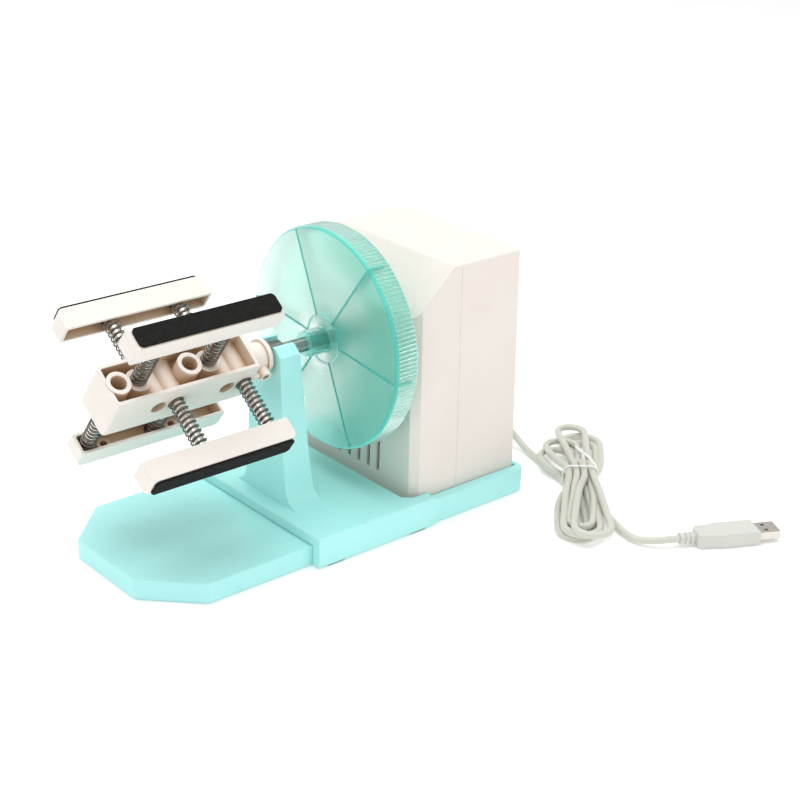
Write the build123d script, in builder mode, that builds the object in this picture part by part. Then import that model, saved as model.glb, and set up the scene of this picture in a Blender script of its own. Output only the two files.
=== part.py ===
from build123d import *
import os
from math import cos, pi, radians, sin, tan

os.makedirs("parts", exist_ok=True)

# USB cup turner: a motor housing turns a long chuck with four sprung grip bars.
# Frame: +X runs along the spindle to the motor, -Y is the operator's side,
# Z = 0 is the surface that the feet stand on. Millimetres. The sub-parts are drawn
# from a datum in the tray's slide and saved about the middle of the object's length.

# ---- driving dimensions -------------------------------------------------------
foot_gap = 0.8            # how far the rubber feet stand proud of the base
axis_z = 101.5            # height of the spindle axis
middle_x = 60.0           # halfway from the tray's front to the end of the cord gland

tray_front = -69.0
tray_chamfer_x = -41.6    # where the cut corners of the tray end
tray_nose = 27.7          # half width of the tray's front edge
tray_half = 54.8
tray_top = 11.6
tray_back = 52.0
tray_travel = 40.0

sleeve_front = 25.5
sleeve_back = 108.6
sleeve_half = 61.1
sleeve_top = 17.6
slide_gap = 0.4           # between the tray and the sleeve around it
notch_front = 92.8        # front edge of the cut-out that clears the housing
notch_half = 53.4

rear_half = 59.4
rear_back = 180.4
rear_top = 15.0
floor_t = 3.0             # floor plate of the rear base
lip_t = 2.8               # lip behind the housing

house_front = 98.4
house_slope = 125.5       # where the sloped face meets the top
house_knee = 122.1        # height where the sloped face meets the front
house_back = 175.6
house_top = 147.7
house_half_top = 50.7
house_half_foot = 53.0
house_wall = 2.2
seam_x = 130.5
seam_gap = 0.05

post_front = 35.2         # front face of the upright
post_back_top = 48.2      # back face of the upright at its top
post_back_foot = 54.6
post_top = 108.0
post_flat = 9.0           # half width of the flat on top of the upright
post_shoulder = 103.4     # height where the top's chamfer meets the side
cradle_r = 6.55           # U notch that holds the bush

shaft_r = 4.0
shaft_start = 20.4
shaft_end = 128.6
running_fit = 0.05

wheel_r = 63.5
wheel_front = 74.6
wheel_back = 89.4
hub_front = 61.7
hub_r = 7.5
rib_start = 6.5           # angle of the first wheel rib from +Y

chuck_turn = 126.5        # direction of grip bar 1 from +Y towards +Z at rest
block_front = -68.6
block_back = 19.0
block_open = 13.9         # half depth towards bars 1 and 4, the open faces
block_side = 12.3         # half width towards bars 2 and 3
block_wall = 2.0
rod_pitch = 42.4
rod_r = 3.2
bore_r = 4.75             # spring seat
head_bore_r = 4.35        # bore for the rod's screw head
tube_r = 6.7
guide_t = 3.6             # wall that guides a rod
seat_depth = 2.3          # depth of the spring seat below the block's face

bar_outer = 53.8          # distance from the axis to a bar's outer face
bar_depth = 12.4
bar_half = 6.3
bar_front = -67.8
bar_back = 21.8
bar_wall = 1.5
bar_end_r = 3.6
web_t = 2.6
pad_t = 1.5
pad_half = 5.7
pad_front = bar_front + 2.4
pad_back = bar_back - 2.0
spring_r = 4.45
wire_d = 0.9
spring_turns = 13

cord_d = 4.2
gear_module = 1.0
gear_teeth = 36
pinion_teeth = 12
gear_gap = gear_module * (gear_teeth + pinion_teeth) / 2


def save(part, name):
    """Write one sub-part, moved so that the origin is under the middle of the object."""
    placed = part.moved(Location((-middle_x, 0, 0)))
    placed.label = name
    export_step(placed, f"parts/{name}.step")


def along_x(x):
    """Plane across the spindle at x: local X is +Y, local Y is +Z, centred on the axis."""
    return Plane(origin=(x, 0, axis_z), x_dir=(0, 1, 0), z_dir=(1, 0, 0))


def wall_plane(x):
    """Plane across the object at x, centred on the floor line."""
    return Plane(origin=(x, 0, 0), x_dir=(0, 1, 0), z_dir=(1, 0, 0))


def arm_plane(angle, distance=0):
    """Plane facing away from the axis: local X is +X, local Z points outwards."""
    out = Vector(0, cos(radians(angle)), sin(radians(angle)))
    return Plane(origin=Vector(0, 0, axis_z) + out * distance, x_dir=(1, 0, 0), z_dir=out)


def cross_recess(spots):
    """Cross slots of screw heads, drawn in the current sketch."""
    with Locations(*spots):
        Rectangle(3.2, 0.7)
        Rectangle(0.7, 3.2)


# ---- base -----------------------------------------------------------------------
def slide_tray():
    with BuildPart() as tray:
        with BuildSketch(Plane.XY.offset(foot_gap)):
            with BuildLine():
                Polyline(
                    (tray_front, -tray_nose), (tray_chamfer_x, -tray_half), (tray_back, -tray_half),
                    (tray_back, tray_half), (tray_chamfer_x, tray_half), (tray_front, tray_nose),
                    close=True,
                )
            make_face()
        extrude(amount=tray_top - foot_gap)
        upright_edges = tray.edges().filter_by(Axis.Z).group_by(Axis.X)
        fillet(upright_edges[0] + upright_edges[1], 2.5)
        fillet(tray.faces().sort_by(Axis.Z)[-1].edges(), 1.0)
        floor_face = tray.faces().sort_by(Axis.Z)[0]
        offset(amount=-2.4, openings=floor_face)
        # stiffening ribs under the tray
        with BuildSketch(Plane.XY.offset(foot_gap + 1.6)):
            for y in (-27, 0, 27):
                with Locations((-6, y)):
                    Rectangle(112, 1.8)
            for x in (-38, -8, 22):
                with Locations((x, 0)):
                    Rectangle(1.8, 106)
        extrude(until=Until.NEXT)
        # pads that carry the two front feet
        with BuildSketch(Plane.XY.offset(foot_gap + 1.0)):
            with Locations((-50, -22), (-50, 22)):
                Circle(6.5)
        extrude(until=Until.NEXT)
    save(tray.part, "slide_tray")


def tray_feet():
    with BuildPart() as feet:
        with BuildSketch(Plane.XY):
            with Locations((-50, -22), (-50, 22)):
                Circle(5)
        extrude(amount=foot_gap + 1.0)
    save(feet.part, "tray_feet")


def upright():
    """Closed form of the upright: straight front, tapered back and a flared foot."""
    foot = sleeve_top - 1
    with BuildPart(mode=Mode.PRIVATE) as post:
        with BuildSketch(Plane.XZ):
            with BuildLine():
                Polyline(
                    (post_front, foot), (post_front, post_top), (post_back_top, post_top),
                    (post_back_foot, foot), close=True,
                )
            make_face()
        extrude(amount=30, both=True)
        with BuildSketch(Plane.YZ):
            with BuildLine():
                Line((0, foot), (29, foot))
                Line((29, foot), (29, sleeve_top))
                Spline((29, sleeve_top), (20.4, 22.0), (17.3, 34.0), tangents=((-1, 0.08), (-0.1, 1)))
                Line((17.3, 34.0), (16.2, 47.0))
                Line((16.2, 47.0), (13.5, post_shoulder))
                Line((13.5, post_shoulder), (post_flat, post_top))
                Line((post_flat, post_top), (0, post_top))
                mirror(about=Plane.YZ)
            make_face()
        extrude(amount=100, mode=Mode.INTERSECT)
    return post.part


def base_sleeve():
    channel_top = tray_top + slide_gap
    with BuildPart() as sleeve:
        with BuildSketch(Plane.XY.offset(foot_gap)):
            with Locations(((sleeve_front + sleeve_back) / 2, 0)):
                Rectangle(sleeve_back - sleeve_front, 2 * sleeve_half)
        extrude(amount=sleeve_top - foot_gap)
        fillet(sleeve.faces().sort_by(Axis.Z)[-1].edges(), 1.2)
        # channel for the tray, open below and to the front
        with BuildSketch(Plane.XY.offset(foot_gap)):
            with Locations(((sleeve_front + sleeve_back) / 2, 0)):
                Rectangle(sleeve_back - sleeve_front + 2, 2 * (tray_half + slide_gap))
        extrude(amount=channel_top - foot_gap, mode=Mode.SUBTRACT)
        # cut-out around the housing
        with BuildSketch(Plane.XY.offset(foot_gap)):
            with BuildLine():
                Polyline(
                    (notch_front, -notch_half + 4.5), (notch_front + 5, -notch_half),
                    (sleeve_back + 2, -notch_half), (sleeve_back + 2, notch_half),
                    (notch_front + 5, notch_half), (notch_front, notch_half - 4.5), close=True,
                )
            make_face()
        extrude(amount=sleeve_top, mode=Mode.SUBTRACT)
        add(upright())
        # cradle notch
        with BuildSketch(along_x(post_front - 3)):
            Circle(cradle_r)
            with Locations((0, 20)):
                Rectangle(2 * cradle_r, 40)
        extrude(amount=26, mode=Mode.SUBTRACT)
        # hollow upright, open below
        with BuildSketch(Plane.XY.offset(foot_gap)):
            with Locations((45, 0)):
                Rectangle(13, 27)
        with BuildSketch(Plane.XY.offset(axis_z - cradle_r - 4)):
            with Locations((42, 0)):
                Rectangle(8, 21)
        loft(mode=Mode.SUBTRACT)
    save(sleeve.part, "base_sleeve")


front_screw_x = 104.0
rear_screw_x = 164.0
base_screw_y = 44.0
base_screw_spots = [(x, y) for x in (front_screw_x, rear_screw_x) for y in (-base_screw_y, base_screw_y)]


def rear_base():
    plate_front = tray_back + tray_travel + 1.5
    floor_half = tray_half + slide_gap - 0.3
    wall_front = sleeve_back + 0.15
    with BuildPart() as base:
        with BuildSketch(Plane.XY.offset(foot_gap)):
            with Locations(((plate_front + wall_front) / 2, 0)):
                Rectangle(wall_front - plate_front, 2 * floor_half)
        extrude(amount=floor_t)
        with BuildSketch(Plane.XY.offset(foot_gap)):
            with Locations(((wall_front + rear_back) / 2, 0)):
                Rectangle(rear_back - wall_front, 2 * rear_half)
        extrude(amount=rear_top - foot_gap)
        corners = base.edges().filter_by(Axis.Z).group_by(Axis.X)[-1]
        fillet(corners, 6)
        # recess that the housing stands in
        with BuildSketch(Plane.XY.offset(foot_gap + floor_t)):
            with Locations(((wall_front - 12 + rear_back - lip_t) / 2, 0)):
                Rectangle(rear_back - lip_t - wall_front + 12, 2 * (house_half_foot + 0.3))
        extrude(amount=rear_top, mode=Mode.SUBTRACT)
        rim = base.faces().filter_by(Axis.Z).sort_by(Axis.Z)[-1].edges()
        fillet(rim, 0.8)
        # screw wells from below
        for radius, depth in ((3.1, 1.6), (1.7, 10)):
            with BuildSketch(Plane.XY.offset(foot_gap)):
                with Locations(*base_screw_spots):
                    Circle(radius)
            extrude(amount=depth, mode=Mode.SUBTRACT)
    save(base.part, "rear_base")


def base_feet():
    with BuildPart() as feet:
        with BuildSketch(Plane.XY):
            for x in (38, 96):
                with Locations((x, -58.15), (x, 58.15)):
                    SlotOverall(14, 4.6)
            with Locations((172, -36), (172, 36), (118, -36), (118, 36)):
                Circle(5)
        extrude(amount=foot_gap)
    save(feet.part, "base_feet")


# ---- housing --------------------------------------------------------------------
def housing_form(inset, mode=Mode.ADD):
    """Closed outer form of the housing, moved inwards by inset, in the current part."""
    foot = foot_gap + floor_t
    with BuildPart(mode=Mode.PRIVATE) as form:
        with BuildSketch(Plane.XZ):
            with BuildLine():
                Polyline(
                    (house_front + inset, foot - (1 if inset else 0)),
                    (house_front + inset, house_knee - 0.4 * inset),
                    (house_slope + 0.35 * inset, house_top - inset),
                    (house_back - inset, house_top - inset),
                    (house_back + 1.6 - inset, foot - (1 if inset else 0)),
                    close=True,
                )
            make_face()
        extrude(amount=house_half_foot + 5, both=True)
        with BuildSketch(Plane.YZ):
            with BuildLine():
                Polyline(
                    (-house_half_foot + inset, 0), (house_half_foot - inset, 0),
                    (house_half_top - inset, house_top), (-house_half_top + inset, house_top),
                    close=True,
                )
            make_face()
        extrude(amount=400, both=True, mode=Mode.INTERSECT)
        uprights = [e for e in form.edges() if e.bounding_box().size.Z > 100]
        front_pair = sorted(uprights, key=lambda e: e.center().X)[:2]
        chamfer(front_pair, 4.2 if inset == 0 else 3.2)
        if inset == 0:
            back_pair = [e for e in form.edges() if e.bounding_box().size.Z > 100
                         and e.center().X > seam_x + 30]
            fillet(back_pair, 3)
            fillet(form.faces().sort_by(Axis.Z)[-1].edges(), 1.2)
    return form.part


board_x = 163.5
board_z = 101.0
board_posts = [(y, board_z + dz) for y in (-16, 16) for dz in (-12, 12)]
gland_y = 0.0
gland_z = 24.0
screw_spots = [(y, z) for y in (-38, 38) for z in (30, 122)]
motor_z = axis_z - 2 * gear_gap
plate_x = 126.0           # front face of the gear plate, less its clearance
plate_posts = [(y, z) for z in (motor_z + 4, axis_z + 6) for y in (-27, 27)]


def base_screw_pads(x):
    """Pads at x that take the screws from the rear base, webbed to the side walls."""
    spots = [(x, -base_screw_y), (x, base_screw_y)]
    with BuildPart(mode=Mode.PRIVATE) as pads:
        with BuildSketch(Plane.XY.offset(foot_gap + floor_t)):
            with Locations(*spots):
                Circle(3.4)
            with Locations((x, -base_screw_y - 3.5), (x, base_screw_y + 3.5)):
                Rectangle(1.6, 8)
        extrude(amount=9)
        with BuildSketch(Plane.XY.offset(foot_gap + floor_t)):
            with Locations(*spots):
                Circle(1.2)
        extrude(amount=8, mode=Mode.SUBTRACT)
    return pads.part


def front_housing():
    with BuildPart() as shell:
        add(housing_form(0))
        add(housing_form(house_wall), mode=Mode.SUBTRACT)
        with BuildSketch(wall_plane(seam_x)):
            with Locations((0, 80)):
                Rectangle(140, 200)
        extrude(amount=100, mode=Mode.SUBTRACT)
        # bearing boss and shaft hole
        with BuildSketch(along_x(house_front + house_wall - 0.5)):
            Circle(10)
        extrude(amount=6.5)
        with BuildSketch(along_x(house_front - 2)):
            Circle(7.05)
        extrude(amount=16, mode=Mode.SUBTRACT)
        # ventilation slots low in the front wall
        with BuildSketch(wall_plane(house_front - 1)):
            with Locations((0, 34)):
                with GridLocations(8.55, 1, 6, 1):
                    SlotOverall(24, 3, rotation=90)
        extrude(amount=house_wall + 2, mode=Mode.SUBTRACT)
        # posts that take the long screws from the rear shell
        with BuildSketch(wall_plane(house_front + house_wall - 0.5)):
            with Locations(*screw_spots):
                Circle(3.6)
        extrude(amount=seam_x - house_front - house_wall + 0.5)
        # posts for the gear plate
        with BuildSketch(wall_plane(house_front + house_wall - 0.5)):
            with Locations(*plate_posts):
                Circle(3.2)
        extrude(amount=plate_x - house_front - house_wall + 0.5)
        with BuildSketch(wall_plane(plate_x)):
            with Locations(*plate_posts):
                Circle(1.2)
        extrude(amount=-12, mode=Mode.SUBTRACT)
        with BuildSketch(wall_plane(seam_x)):
            with Locations(*screw_spots):
                Circle(1.3)
        extrude(amount=-14, mode=Mode.SUBTRACT)
        add(base_screw_pads(front_screw_x))
    save(shell.part, "front_housing")


def rear_housing():
    with BuildPart() as shell:
        add(housing_form(0))
        add(housing_form(house_wall), mode=Mode.SUBTRACT)
        with BuildSketch(wall_plane(seam_x + seam_gap)):
            with Locations((0, 80)):
                Rectangle(140, 200)
        extrude(amount=-100, mode=Mode.SUBTRACT)
        # tubes for the long screws, from the back wall to the seam
        with BuildSketch(wall_plane(seam_x + seam_gap)):
            with Locations(*screw_spots):
                Circle(3.6)
        extrude(amount=house_back - seam_x - 0.6)
        with BuildSketch(wall_plane(seam_x)):
            with Locations(*screw_spots):
                Circle(1.7)
        extrude(amount=80, mode=Mode.SUBTRACT)
        with BuildSketch(wall_plane(seam_x + 8)):
            with Locations(*screw_spots):
                Circle(2.9)
        extrude(amount=80, mode=Mode.SUBTRACT)
        # hole for the cord gland and posts for the circuit board
        with BuildSketch(wall_plane(house_back - 6)):
            with Locations((gland_y, gland_z)):
                Circle(3.6)
        extrude(amount=20, mode=Mode.SUBTRACT)
        with BuildSketch(wall_plane(board_x + 1.75)):
            with Locations(*board_posts):
                Circle(2.4)
        extrude(amount=house_back - house_wall + 1.4 - board_x - 1.75)
        add(base_screw_pads(rear_screw_x))
    save(shell.part, "rear_housing")


def housing_screws():
    with BuildPart() as screws:
        with BuildSketch(wall_plane(seam_x - 10)):
            with Locations(*screw_spots):
                Circle(1.25)
        extrude(amount=18.3)
        with BuildSketch(wall_plane(seam_x + 8.1)):
            with Locations(*screw_spots):
                Circle(2.7)
        extrude(amount=2.2)
        with BuildSketch(wall_plane(seam_x + 9.3)):
            cross_recess(screw_spots)
        extrude(amount=2, mode=Mode.SUBTRACT)
    save(screws.part, "housing_screws")


def base_screws():
    with BuildPart() as screws:
        with BuildSketch(Plane.XY.offset(foot_gap + 0.2)):
            with Locations(*base_screw_spots):
                Circle(2.8)
        extrude(amount=1.3)
        with BuildSketch(Plane.XY.offset(foot_gap + 1.4)):
            with Locations(*base_screw_spots):
                Circle(1.15)
        extrude(amount=9)
        with BuildSketch(Plane.XY.offset(foot_gap)):
            cross_recess(base_screw_spots)
        extrude(amount=0.9, mode=Mode.SUBTRACT)
    save(screws.part, "base_screws")


# ---- drive ----------------------------------------------------------------------
def bush(name, x, length, outer_r):
    with BuildPart() as ring:
        with BuildSketch(along_x(x)):
            Circle(outer_r)
            Circle(shaft_r + running_fit, mode=Mode.SUBTRACT)
        extrude(amount=length)
        chamfer(ring.edges().filter_by(GeomType.CIRCLE).sort_by(SortBy.RADIUS)[-2:], 0.5)
    save(ring.part, name)


def gear_outline(teeth, turn):
    """Toothed disc drawn in the current sketch, with a tooth at angle turn."""
    pitch_r = gear_module * teeth / 2
    root_r = pitch_r - 1.2 * gear_module
    tip_r = pitch_r + 0.75 * gear_module
    pitch_w = 0.40 * pi * gear_module
    Circle(root_r)
    with PolarLocations(0, teeth, start_angle=turn):
        Polygon(
            (root_r - 0.4, -0.72 * pitch_w), (tip_r, -0.28 * pitch_w),
            (tip_r, 0.28 * pitch_w), (root_r - 0.4, 0.72 * pitch_w), align=None,
        )


def gear_plane(x, z):
    return Plane(origin=(x, 0, z), x_dir=(0, 1, 0), z_dir=(1, 0, 0))


idler_z = axis_z - gear_gap


def spindle_gear():
    with BuildPart() as gear:
        with BuildSketch(gear_plane(110, axis_z)):
            gear_outline(gear_teeth, -90)
        extrude(amount=7)
        with BuildSketch(gear_plane(107, axis_z)):
            Circle(8)
        extrude(amount=10.6)
        with BuildSketch(gear_plane(100, axis_z)):
            Circle(shaft_r)
        extrude(amount=30, mode=Mode.SUBTRACT)
        with BuildSketch(gear_plane(105, axis_z)):
            with PolarLocations(12, 6):
                Circle(2.6)
        extrude(amount=20, mode=Mode.SUBTRACT)
    save(gear.part, "spindle_gear")


def idler_gear():
    with BuildPart() as gear:
        with BuildSketch(gear_plane(109.5, idler_z)):
            gear_outline(pinion_teeth, 90 + 180 / pinion_teeth)
        extrude(amount=9)
        with BuildSketch(gear_plane(118.4, idler_z)):
            gear_outline(gear_teeth, -90)
        extrude(amount=5)
        with BuildSketch(gear_plane(100, idler_z)):
            Circle(2 + running_fit)
        extrude(amount=40, mode=Mode.SUBTRACT)
    save(gear.part, "idler_gear")


def idler_pin():
    with BuildPart() as pin:
        with BuildSketch(gear_plane(107.5, idler_z)):
            Circle(2)
        extrude(amount=20.5)
        with BuildSketch(gear_plane(107.5, idler_z)):
            Circle(3.2)
        extrude(amount=1.2)
    save(pin.part, "idler_pin")


def motor_pinion():
    with BuildPart() as gear:
        with BuildSketch(gear_plane(118.2, motor_z)):
            gear_outline(pinion_teeth, 90 + 180 / pinion_teeth)
        extrude(amount=6)
        with BuildSketch(gear_plane(118.2, motor_z)):
            Circle(1.5)
        extrude(amount=14)
    save(gear.part, "motor_pinion")


def gear_plate():
    with BuildPart() as plate:
        with BuildSketch(wall_plane(plate_x + 0.1)):
            with Locations((0, (axis_z + motor_z) / 2 + 3)):
                RectangleRounded(64, 82, 6)
        extrude(amount=1.9)
        with BuildSketch(wall_plane(120)):
            with Locations((0, axis_z)):
                Circle(6.05)
            with Locations((0, idler_z)):
                Circle(2)
            with Locations((0, motor_z)):
                Circle(4.1)
            with Locations(*plate_posts):
                Circle(1.6)
        extrude(amount=10, mode=Mode.SUBTRACT)
    save(plate.part, "gear_plate")


def plate_screws():
    with BuildPart() as screws:
        with BuildSketch(wall_plane(117)):
            with Locations(*plate_posts):
                Circle(1.15)
        extrude(amount=11.2)
        with BuildSketch(wall_plane(128.1)):
            with Locations(*plate_posts):
                Circle(2.7)
        extrude(amount=2)
        with BuildSketch(wall_plane(129.2)):
            cross_recess(plate_posts)
        extrude(amount=2, mode=Mode.SUBTRACT)
    save(screws.part, "plate_screws")


def motor():
    with BuildPart() as can:
        with BuildSketch(gear_plane(128.1, motor_z)):
            Circle(14)
        extrude(amount=32)
        fillet(can.edges().filter_by(GeomType.CIRCLE), 1.2)
        with BuildSketch(gear_plane(126.2, motor_z)):
            Circle(4)
        extrude(amount=2.4)
        with BuildSketch(gear_plane(160, motor_z)):
            Circle(5)
        extrude(amount=2.4)
        with BuildSketch(gear_plane(160, motor_z)):
            with Locations((0, -9), (0, 9)):
                Rectangle(2.4, 0.6)
        extrude(amount=4.5)
        with BuildSketch(gear_plane(120, motor_z)):
            Circle(1.6)
        extrude(amount=26, mode=Mode.SUBTRACT)
    save(can.part, "motor")


def circuit_board():
    with BuildPart() as board:
        with BuildSketch(wall_plane(board_x)):
            with Locations((0, board_z)):
                Rectangle(42, 34)
            with Locations(*board_posts):
                Circle(1.1, mode=Mode.SUBTRACT)
        extrude(amount=1.6)
    save(board.part, "circuit_board")


def board_parts():
    with BuildPart() as parts:
        with BuildSketch(wall_plane(board_x)):
            with Locations((-8, board_z + 4)):
                Rectangle(8, 8)
            with Locations((6, board_z + 6)):
                Rectangle(5, 4)
            with Locations((10, board_z - 8)):
                Rectangle(9, 6)
        extrude(amount=-2)
        with BuildSketch(wall_plane(board_x)):
            with Locations((-6, board_z - 9)):
                Circle(3.2)
        extrude(amount=-3.4)
    save(parts.part, "board_parts")


def spindle_shaft():
    with BuildPart() as shaft:
        with BuildSketch(along_x(shaft_start)):
            Circle(shaft_r)
        extrude(amount=shaft_end - shaft_start)
        chamfer(shaft.edges().filter_by(GeomType.CIRCLE), 0.5)
        # flat for the grub screw
        with BuildSketch(arm_plane(chuck_turn + 90, shaft_r - 0.5)):
            with Locations((27, 0)):
                Rectangle(13, 8)
        extrude(amount=2, mode=Mode.SUBTRACT)
    save(shaft.part, "spindle_shaft")


def drive_wheel():
    web_t_wheel = 2.0
    with BuildPart() as wheel:
        with BuildSketch(along_x(wheel_front)):
            Circle(wheel_r)
        extrude(amount=wheel_back - wheel_front)
        fillet(wheel.edges().sort_by(Axis.X)[0], 1.6)
        with BuildSketch(along_x(wheel_front + web_t_wheel)):
            Circle(wheel_r - 2.0)
        extrude(amount=30, mode=Mode.SUBTRACT)
        # hub tube, its ring rib and the six ribs that turn along the rim
        with BuildSketch(along_x(hub_front)):
            Circle(hub_r)
        extrude(amount=wheel_front + 12 - hub_front)
        with BuildSketch(along_x(wheel_front + 1)):
            Circle(14.5)
            Circle(13.2, mode=Mode.SUBTRACT)
        extrude(amount=6)
        with BuildSketch(along_x(wheel_front + 1)):
            with PolarLocations(0, 6, start_angle=rib_start):
                with Locations((wheel_r / 2, 0)):
                    Rectangle(wheel_r - 3, 1.4)
        extrude(amount=4)
        with BuildSketch(along_x(wheel_front + 1)):
            with PolarLocations(0, 6, start_angle=rib_start):
                with Locations((wheel_r - 4, 0)):
                    Rectangle(5, 1.4)
        extrude(amount=10)
        with BuildSketch(along_x(hub_front - 1)):
            Circle(shaft_r)
        extrude(amount=40, mode=Mode.SUBTRACT)
        # hole for the cross pin that locks the hub on the shaft
        with BuildSketch(Plane.XY.offset(axis_z)):
            with Locations((70.6, 0)):
                Circle(1.0)
        extrude(amount=10, both=True, mode=Mode.SUBTRACT)
    save(wheel.part, "drive_wheel")


def hub_pin():
    """Grub screw that locks the wheel's hub on the shaft."""
    with BuildPart() as pin:
        with BuildSketch(Plane.XY.offset(axis_z + shaft_r)):
            with Locations((70.6, 0)):
                Circle(0.98)
        extrude(amount=2.4)
    save(pin.part, "hub_grub_screw")


# ---- chuck ----------------------------------------------------------------------
# Direction from the axis, rod positions and the block's half depth for each bar.
bars = {
    1: (chuck_turn, -49.2, block_open),
    2: (chuck_turn - 90, -39.4, block_side),
    3: (chuck_turn + 90, -28.8, block_side),
    4: (chuck_turn + 180, -61.4, block_open),
}
opposite = {1: 4, 4: 1, 2: 3, 3: 2}
neck_r = 8.4
neck_end = 33.6
flange_r = 9.8
flange_t = 2.5
boss_x = 28.0


def rod_spots(number):
    first = bars[number][1]
    return [(first, 0), (first + rod_pitch, 0)]


def chuck_block():
    length = block_back - block_front
    middle = (block_front + block_back) / 2
    open_dir = bars[1][0]
    with BuildPart() as block:
        with BuildSketch(arm_plane(open_dir, -block_open)):
            with Locations((middle, 0)):
                Rectangle(length, 2 * block_side)
        extrude(amount=2 * block_open)
        outer_edges = block.edges().filter_by(Axis(origin=(0, 0, 0), direction=arm_plane(open_dir).z_dir))
        fillet(outer_edges.group_by(Axis.X)[0], 2.5)
        for side in (1, -1):
            plane = arm_plane(open_dir, side * block_open)
            with BuildSketch(plane):
                with Locations((middle, 0)):
                    RectangleRounded(length - 2 * block_wall, 2 * (block_side - block_wall), 1.2)
            extrude(amount=-side * (block_open - 1.0), mode=Mode.SUBTRACT)
        # rod tubes through the block, two for each bar
        for number, (angle, first, depth) in bars.items():
            top = depth - seat_depth if number in (1, 4) else depth - 0.3
            with BuildSketch(arm_plane(angle, top)):
                with Locations(*rod_spots(number)):
                    Circle(tube_r)
            bottom = depth + 0.5 if number in (1, 4) else depth - 0.3
            extrude(amount=-(top + bottom))
        for number, (angle, first, depth) in bars.items():
            seat = depth - seat_depth
            with BuildSketch(arm_plane(angle, seat)):
                with Locations(*rod_spots(number)):
                    Circle(bore_r)
            extrude(amount=10, mode=Mode.SUBTRACT)
            with BuildSketch(arm_plane(angle, seat + 1)):
                with Locations(*rod_spots(number)):
                    Circle(rod_r + running_fit)
            extrude(amount=-12, mode=Mode.SUBTRACT)
            with BuildSketch(arm_plane(angle, seat - guide_t)):
                with Locations(*rod_spots(number)):
                    Circle(head_bore_r)
            extrude(amount=-40, mode=Mode.SUBTRACT)
        # neck with its end flange, and the boss for the grub screw
        with BuildSketch(along_x(block_back - 0.5)):
            Circle(neck_r)
        extrude(amount=neck_end - block_back + 0.5)
        with BuildSketch(along_x(neck_end - flange_t)):
            Circle(flange_r)
        extrude(amount=flange_t)
        with BuildSketch(arm_plane(bars[3][0], 4)):
            with Locations((boss_x, 0)):
                Circle(3.5)
        extrude(amount=8.8)
        # web between the block and the boss
        with BuildSketch(arm_plane(bars[1][0])):
            with BuildLine():
                Polyline(
                    (block_back - 0.5, -5), (block_back - 0.5, -12), (boss_x, -12), (boss_x, -5), close=True,
                )
            make_face()
        extrude(amount=0.9, both=True)
        with BuildSketch(along_x(shaft_start - 0.2)):
            Circle(shaft_r)
        extrude(amount=30, mode=Mode.SUBTRACT)
        with BuildSketch(arm_plane(bars[3][0], 1)):
            with Locations((boss_x, 0)):
                Circle(2.0)
        extrude(amount=20, mode=Mode.SUBTRACT)
    save(block.part, "chuck_block")


def chuck_grub_screw():
    with BuildPart() as screw:
        with BuildSketch(arm_plane(bars[3][0], shaft_r - 0.5)):
            with Locations((boss_x, 0)):
                Circle(1.97)
        extrude(amount=7)
        with BuildSketch(arm_plane(bars[3][0], shaft_r + 6.5)):
            with Locations((boss_x, 0)):
                RegularPolygon(1.1, 6)
        extrude(amount=-2.5, mode=Mode.SUBTRACT)
    save(screw.part, "chuck_grub_screw")


def grip_bar(number):
    angle = bars[number][0]
    rim = bar_outer - bar_depth
    length = bar_back - bar_front
    middle = (bar_front + bar_back) / 2
    with BuildPart() as bar:
        with BuildSketch(arm_plane(angle, rim)):
            with Locations((middle, 0)):
                Rectangle(length, 2 * bar_half)
        extrude(amount=bar_depth)
        across = arm_plane(angle)
        top_face = bar.faces().sort_by(Axis(origin=(0, 0, axis_z), direction=across.z_dir))[-1]
        ends = top_face.edges().filter_by(Axis(origin=(0, 0, 0), direction=across.y_dir))
        fillet(ends, bar_end_r)
        with BuildSketch(arm_plane(angle, rim)):
            with Locations((middle, 0)):
                RectangleRounded(length - 2 * bar_wall, 2 * (bar_half - bar_wall), 0.8)
        extrude(amount=bar_depth - web_t, mode=Mode.SUBTRACT)
        # sockets for the rods and rings around the screwdriver holes
        with BuildSketch(arm_plane(angle, bar_outer - web_t - 1.6)):
            with Locations(*rod_spots(opposite[number])):
                Circle(4.2)
        extrude(amount=1.8)
        with BuildSketch(arm_plane(angle, bar_outer + 1)):
            with Locations(*rod_spots(opposite[number])):
                Circle(2.0)
        extrude(amount=-8, mode=Mode.SUBTRACT)
        with BuildSketch(arm_plane(angle, bar_outer - 1.0)):
            with Locations(*rod_spots(number)):
                Circle(rod_r)
        extrude(amount=-8, mode=Mode.SUBTRACT)
    save(bar.part, f"grip_bar_{number}")


def grip_pad(number):
    with BuildPart() as pad:
        with BuildSketch(arm_plane(bars[number][0], bar_outer)) as outline:
            with Locations(((pad_front + pad_back) / 2, 0)):
                Rectangle(pad_back - pad_front, 2 * pad_half)
            chamfer(outline.vertices(), 1.6)
        extrude(amount=pad_t)
    save(pad.part, f"grip_pad_{number}")


def bar_rods(number):
    angle, first, depth = bars[number]
    inner = depth - seat_depth - guide_t - 0.2
    with BuildPart() as rods:
        with BuildSketch(arm_plane(angle, inner)):
            with Locations(*rod_spots(number)):
                Circle(rod_r)
        extrude(amount=bar_outer - 1.0 - inner)
        chamfer(rods.edges().filter_by(GeomType.CIRCLE), 0.3)
        with BuildSketch(arm_plane(angle, inner)):
            with Locations(*rod_spots(number)):
                Circle(1.25)
        extrude(amount=8, mode=Mode.SUBTRACT)
    save(rods.part, f"bar_{number}_rods")


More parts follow.
